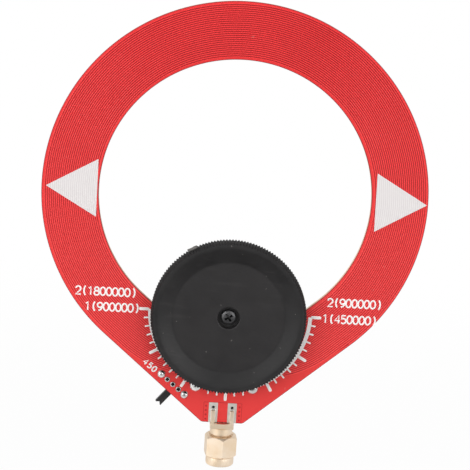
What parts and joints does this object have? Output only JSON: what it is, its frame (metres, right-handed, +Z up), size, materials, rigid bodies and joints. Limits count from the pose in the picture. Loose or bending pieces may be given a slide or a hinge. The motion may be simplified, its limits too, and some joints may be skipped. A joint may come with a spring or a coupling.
{
  "type": "loop antenna",
  "caption": "Loop antenna on a red ring-shaped circuit board with etched windings, a ribbed tuning knob, a band slide switch and a gold screw-on coaxial plug at its foot.",
  "frame": {"origin": "centre of the coupling nut's mouth, on the plug's axis", "axes": "+Z up along the plug's axis to the loop, -Y towards the viewer of the knob, +X to the viewer's right"},
  "size_m": [0.1, 0.018, 0.123],
  "materials": {
    "red_board": "satin red solder mask over glass fibre",
    "winding": "etched trace under the same red mask",
    "tinned_pad": "tinned copper",
    "gold_plate": "gold-plated brass, satin",
    "white_insulator": "white fluoroplastic",
    "solder": "bright solder",
    "gasket": "silicone rubber",
    "case_plastic": "milky moulded plastic",
    "plate_metal": "thin rolled plate",
    "film": "thin clear film",
    "brass_part": "turned brass",
    "steel_screw": "zinc-plated steel",
    "knob_plastic": "matt black moulded plastic",
    "black_screw": "black oxide steel",
    "switch_steel": "nickel-plated pressed steel",
    "switch_board": "brown laminate",
    "lever_plastic": "black moulded plastic"
  },
  "bodies": {
    "antenna": {"circuit_board": "red_board", "front_winding": "winding", "back_winding": "winding", "connector_pads": "tinned_pad", "connector_body": "gold_plate", "connector_dielectric": "white_insulator", "centre_contact": "gold_plate", "connector_solder": "solder", "nut_snap_ring": "brass_part", "nut_gasket": "gasket", "capacitor_base": "case_plastic", "capacitor_cover": "case_plastic", "stator_posts": "brass_part", "stator_plates": "plate_metal", "insulating_films": "film", "capacitor_lugs": "brass_part", "lug_solder": "solder", "capacitor_screws": "steel_screw", "switch_frame": "switch_steel", "switch_base": "switch_board", "switch_terminals": "tinned_pad", "switch_solder": "solder"},
    "tuner": {"tuning_knob": "knob_plastic", "knob_screw": "black_screw", "tuning_shaft": "brass_part", "rotor_plates": "plate_metal"},
    "slider": {"switch_lever": "lever_plastic", "switch_wiper": "brass_part"},
    "nut": {"coupling_nut": "gold_plate"},
    "left_trimmer": {"trimmer_left": "brass_part"},
    "right_trimmer": {"trimmer_right": "brass_part"}
  },
  "joints": [
    {"name": "tuning", "type": "hinge", "parent": "antenna", "child": "tuner", "pos_m": [0, 0, 0.0417], "axis": [0, -1, 0], "range_deg": [-90, 90]},
    {"name": "band", "type": "slide", "parent": "antenna", "child": "slider", "axis": [-0.7612, 0, 0.6485], "range_m": [0, 0.0028]},
    {"name": "nut_turn", "type": "hinge", "parent": "antenna", "child": "nut", "pos_m": [0, 0, 0], "axis": [0, 0, 1], "continuous": true},
    {"name": "left_trim", "type": "hinge", "parent": "antenna", "child": "left_trimmer", "pos_m": [-0.005, 0.01067, 0.0467], "axis": [0, 1, 0], "continuous": true},
    {"name": "right_trim", "type": "hinge", "parent": "antenna", "child": "right_trimmer", "pos_m": [0.005, 0.01067, 0.0467], "axis": [0, 1, 0], "continuous": true}
  ]
}
